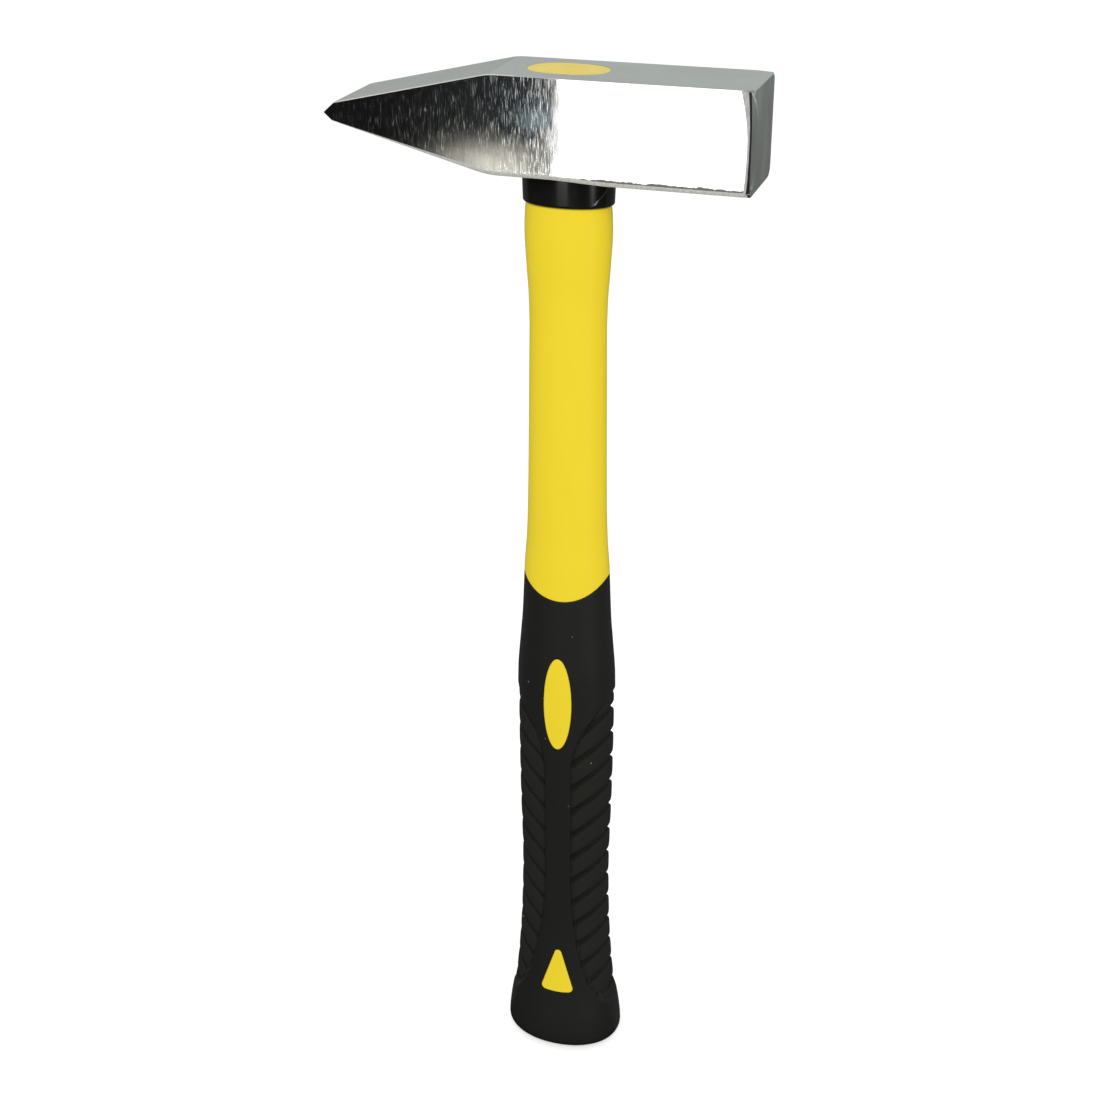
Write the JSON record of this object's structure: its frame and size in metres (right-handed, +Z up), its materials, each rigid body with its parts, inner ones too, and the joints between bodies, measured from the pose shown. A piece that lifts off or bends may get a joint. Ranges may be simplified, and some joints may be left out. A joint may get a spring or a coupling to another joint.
{
  "type": "cross-peen hammer",
  "caption": "Cross-peen hammer with a square forged steel head and a fibreglass-cored handle in a yellow jacket with a black ribbed soft grip.",
  "frame": {"origin": "middle of the flat on the butt of the handle, on the handle's axis", "axes": "+Z up the handle to the head, +X to the striking face (the peen points to -X), -Y and +Y out of the head's two cheeks"},
  "size_m": [0.118, 0.0292, 0.32],
  "materials": {
    "head_steel": "forged carbon steel, ground all over, polished cheeks, satin top, peen and striking face",
    "glass_fibre": "pultruded glass fibre rod, amber and slightly streaked along its length",
    "jacket_plastic": "injection-moulded polypropylene, bright yellow, satin",
    "grip_rubber": "soft thermoplastic rubber, black, fine matte texture, rougher on the ribs",
    "collar_plastic": "glossy black moulded plastic",
    "eye_resin": "cast yellow resin, levelled with the head's top"
  },
  "bodies": {
    "root": {"head": "head_steel", "core_rod": "glass_fibre", "jacket": "jacket_plastic", "grip": "grip_rubber", "collar": "collar_plastic", "eye_resin": "eye_resin"}
  },
  "joints": []
}
